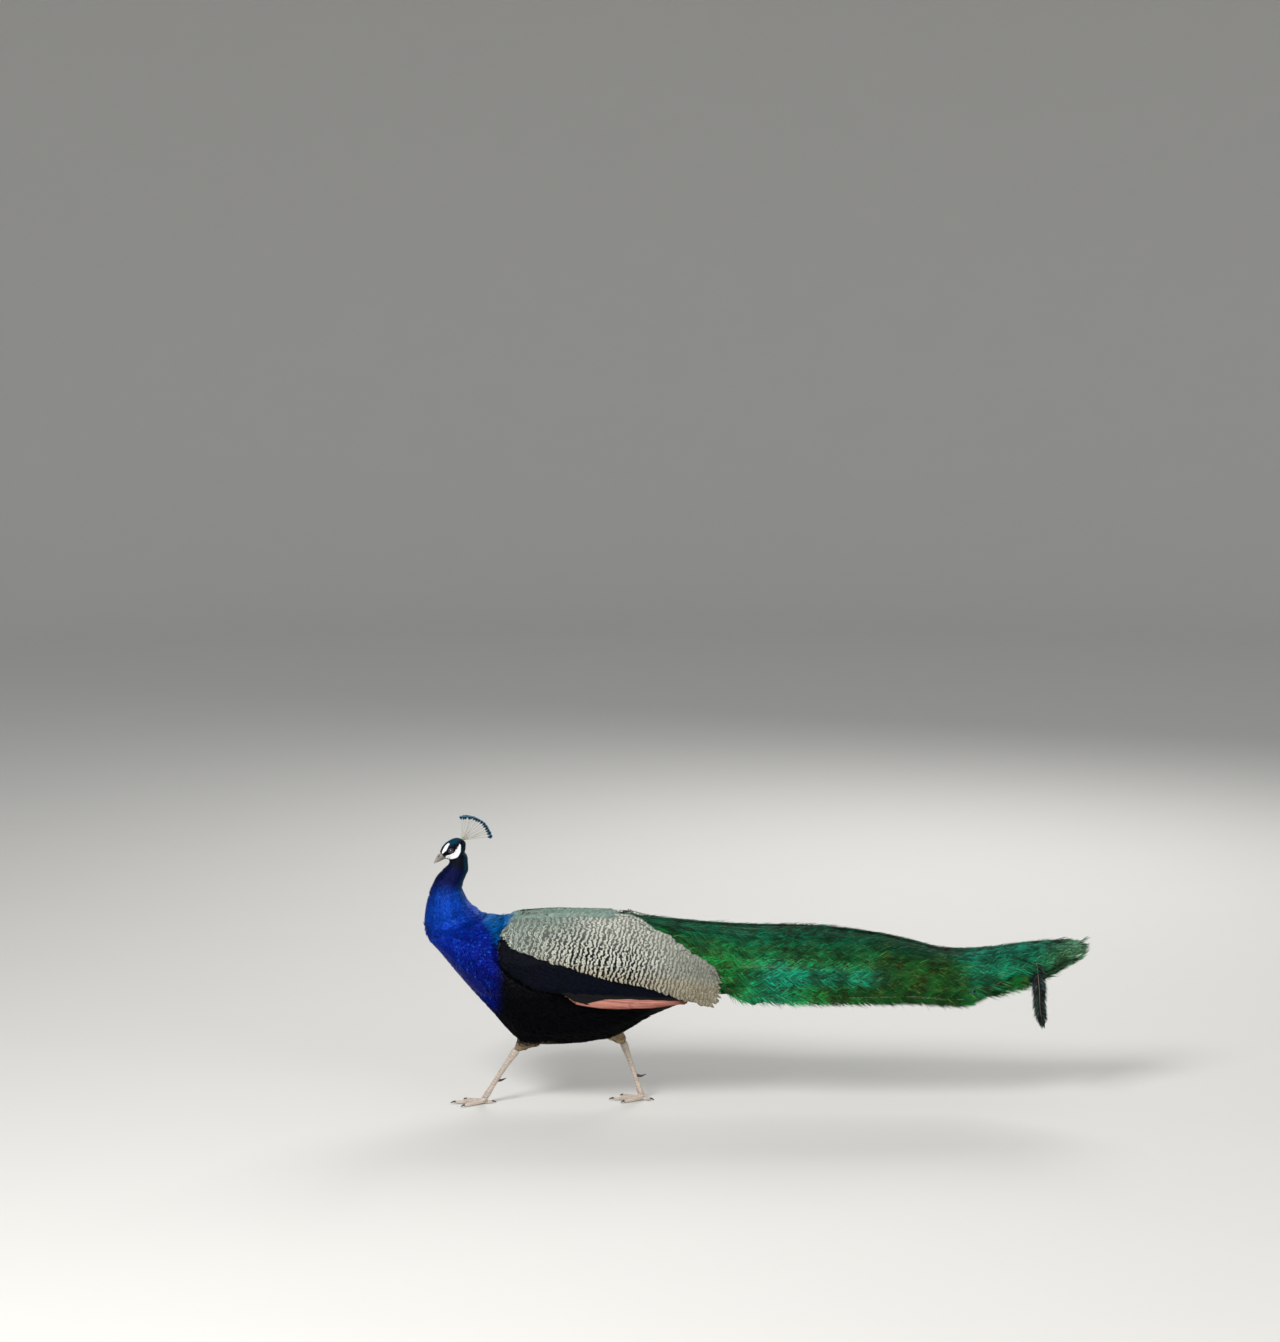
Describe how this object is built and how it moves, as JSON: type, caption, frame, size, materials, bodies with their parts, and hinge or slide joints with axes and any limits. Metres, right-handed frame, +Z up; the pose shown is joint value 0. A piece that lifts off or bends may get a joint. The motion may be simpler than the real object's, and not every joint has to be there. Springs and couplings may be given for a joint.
{
  "type": "peacock",
  "caption": "Life-size still model of a walking male Indian peafowl with a fan crest, barred folded wings and a long green train carried low behind it.",
  "frame": {"origin": "middle of the bird's length and width, at the level of its soles", "axes": "+Z up, +X from the bill towards the tip of the train, so the bird faces -X, and -Y its left side"},
  "size_m": [1.5584, 0.2716, 0.6862],
  "materials": {
    "head_feathers": "tiny blue-black feathers with a teal rim, and bare white skin round the eye",
    "blue_feathers": "glossy cobalt scale feathers, turning violet and teal",
    "belly_feathers": "dull black-green feathers",
    "crest_feathers": "bare pale shafts with blue-green fans",
    "barred_feathers": "cream feathers with fine wavy black bars",
    "black_feathers": "blue-black feathers with a soft gloss",
    "chestnut_feathers": "plain chestnut flight feathers",
    "train_feathers": "metallic green plumes with loose bronze barbs",
    "brown_feathers": "stiff dull brown feathers",
    "thigh_feathers": "soft buff feathers",
    "horn": "smooth grey horn",
    "eye": "wet dark brown",
    "leg_skin": "overlapping grey-buff scutes",
    "claw": "worn dark horn"
  },
  "bodies": {
    "root": {"head": "head_feathers", "neck_upper": "blue_feathers", "neck_lower": "blue_feathers", "trunk": "belly_feathers", "eye_left": "eye", "eye_right": "eye", "crest": "crest_feathers", "bill_upper": "horn", "bill_lower": "horn", "wing_left_coverts": "barred_feathers", "wing_right_coverts": "barred_feathers", "wing_left_secondaries": "black_feathers", "wing_right_secondaries": "black_feathers", "wing_left_primaries": "chestnut_feathers", "wing_right_primaries": "chestnut_feathers", "train_front": "train_feathers", "train_middle": "train_feathers", "train_rear": "train_feathers", "train_hanging_plume": "black_feathers", "tail": "brown_feathers", "thigh_left": "thigh_feathers", "shank_left": "leg_skin", "foot_left": "leg_skin", "spur_left": "claw", "claw_left_1": "claw", "claw_left_2": "claw", "claw_left_3": "claw", "claw_left_4": "claw", "thigh_right": "thigh_feathers", "shank_right": "leg_skin", "foot_right": "leg_skin", "spur_right": "claw", "claw_right_1": "claw", "claw_right_2": "claw", "claw_right_3": "claw", "claw_right_4": "claw"}
  },
  "joints": []
}
